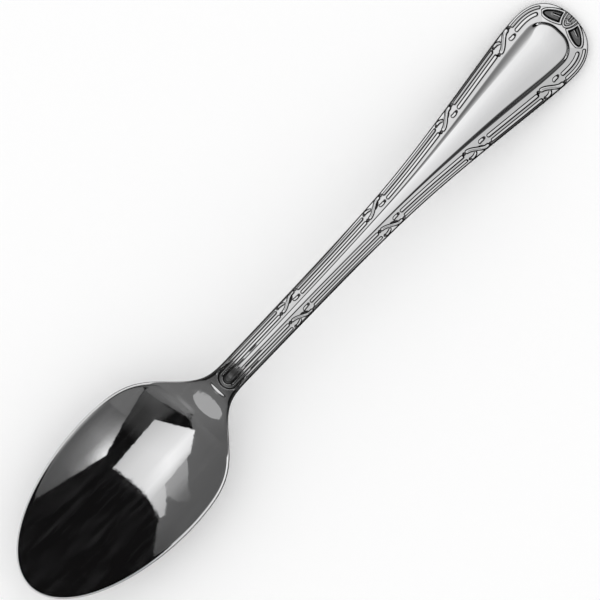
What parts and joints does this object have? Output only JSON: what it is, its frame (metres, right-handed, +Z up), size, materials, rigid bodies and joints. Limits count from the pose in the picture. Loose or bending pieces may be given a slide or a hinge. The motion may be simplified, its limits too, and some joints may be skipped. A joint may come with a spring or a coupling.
{
  "type": "teaspoon",
  "caption": "Polished metal teaspoon with an egg-shaped bowl and an arched, widening handle edged with raised reeds, crossed ribbons and a bow around a smooth panel.",
  "frame": {"origin": "on the table, under the middle of the spoon's length and width, as it rests on its belly and its handle's end", "axes": "+X from the bowl's tip to the handle's end, Y across, +Z up out of the bowl"},
  "size_m": [0.14, 0.0274, 0.0135],
  "materials": {
    "polished_steel": "mirror polished stainless steel with fine wiping scratches"
  },
  "bodies": {
    "root": {"bowl": "polished_steel", "neck": "polished_steel", "stem": "polished_steel", "handle_end": "polished_steel"}
  },
  "joints": []
}
